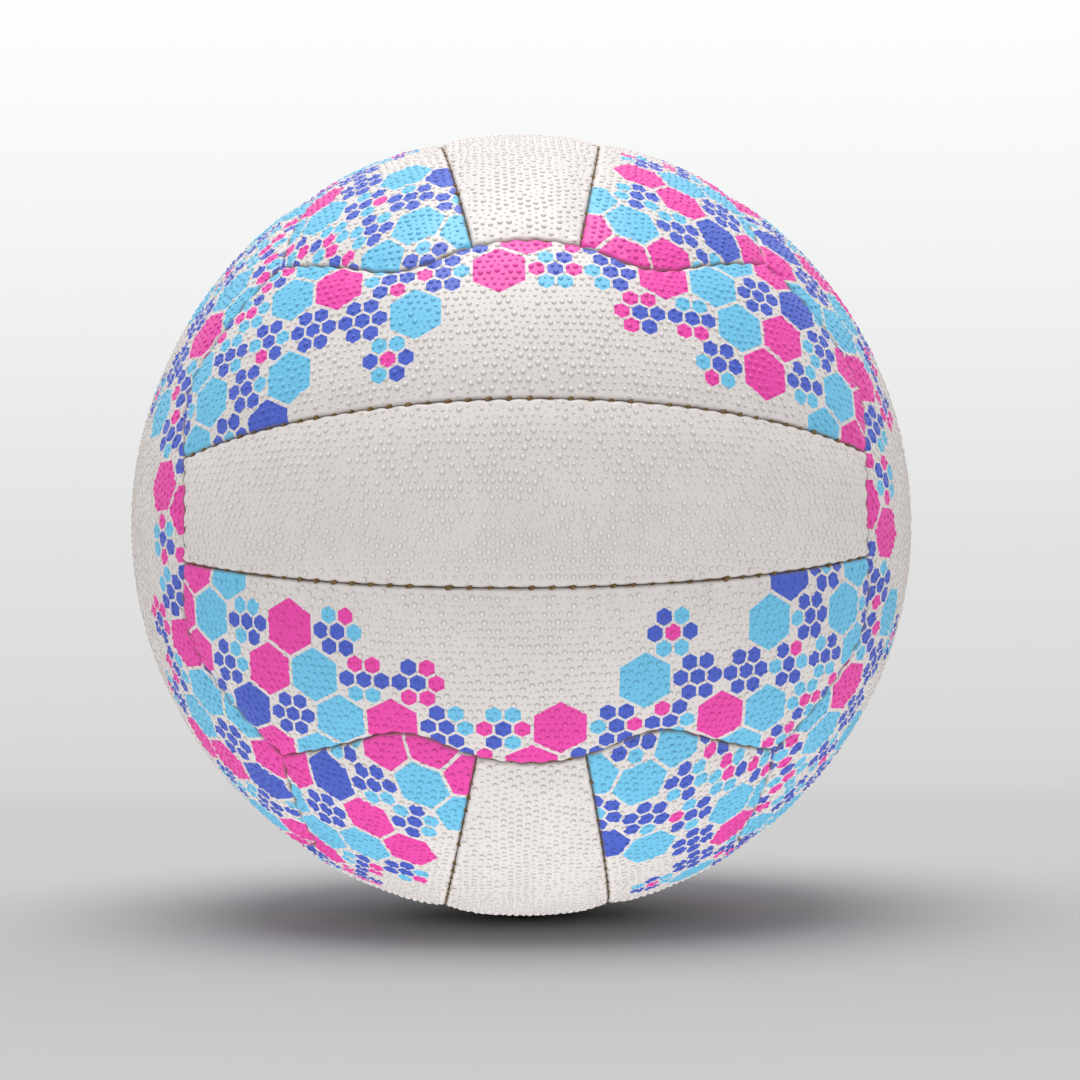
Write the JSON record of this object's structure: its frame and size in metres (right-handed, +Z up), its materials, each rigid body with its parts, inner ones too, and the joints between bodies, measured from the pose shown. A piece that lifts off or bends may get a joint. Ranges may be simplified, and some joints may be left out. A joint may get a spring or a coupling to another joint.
{
  "type": "netball",
  "caption": "Stitched match ball of pebbled rubber strip panels over cloth linings and an air bladder, with a needle valve.",
  "frame": {"origin": "centre of the ball", "axes": "+Z up, -Y towards the front face with its strips lying level, +Y out through the valve"},
  "size_m": [0.2228, 0.2228, 0.2228],
  "materials": {
    "printed_cover": "moulded pebble grain, colour print on the strip ends",
    "plain_cover": "moulded pebble grain",
    "lining_cloth": "plain woven cloth, laminated",
    "bladder_butyl": "smooth moulded",
    "valve_rubber": "smooth moulded",
    "core_rubber": "smooth moulded",
    "waxed_thread": "twisted and waxed"
  },
  "bodies": {
    "root": {"front_upper_panel": "printed_cover", "front_middle_panel": "plain_cover", "front_lower_panel": "printed_cover", "front_upper_lining": "lining_cloth", "front_middle_lining": "lining_cloth", "front_lower_lining": "lining_cloth", "front_strip_stitches": "waxed_thread", "front_top_stitches": "waxed_thread", "front_bottom_stitches": "waxed_thread", "back_upper_panel": "printed_cover", "back_middle_panel": "plain_cover", "back_lower_panel": "printed_cover", "back_upper_lining": "lining_cloth", "back_middle_lining": "lining_cloth", "back_lower_lining": "lining_cloth", "back_strip_stitches": "waxed_thread", "back_top_stitches": "waxed_thread", "back_bottom_stitches": "waxed_thread", "top_left_panel": "printed_cover", "top_middle_panel": "plain_cover", "top_right_panel": "printed_cover", "top_left_lining": "lining_cloth", "top_middle_lining": "lining_cloth", "top_right_lining": "lining_cloth", "top_strip_stitches": "waxed_thread", "top_left_stitches": "waxed_thread", "top_right_stitches": "waxed_thread", "bottom_right_panel": "printed_cover", "bottom_middle_panel": "plain_cover", "bottom_left_panel": "printed_cover", "bottom_right_lining": "lining_cloth", "bottom_middle_lining": "lining_cloth", "bottom_left_lining": "lining_cloth", "bottom_strip_stitches": "waxed_thread", "bottom_left_stitches": "waxed_thread", "bottom_right_stitches": "waxed_thread", "left_back_panel": "printed_cover", "left_middle_panel": "plain_cover", "left_front_panel": "printed_cover", "left_back_lining": "lining_cloth", "left_middle_lining": "lining_cloth", "left_front_lining": "lining_cloth", "left_strip_stitches": "waxed_thread", "left_front_stitches": "waxed_thread", "left_back_stitches": "waxed_thread", "right_front_panel": "printed_cover", "right_middle_panel": "plain_cover", "right_back_panel": "printed_cover", "right_front_lining": "lining_cloth", "right_middle_lining": "lining_cloth", "right_back_lining": "lining_cloth", "right_strip_stitches": "waxed_thread", "right_front_stitches": "waxed_thread", "right_back_stitches": "waxed_thread", "bladder": "bladder_butyl", "valve_body": "valve_rubber", "valve_core": "core_rubber"}
  },
  "joints": []
}
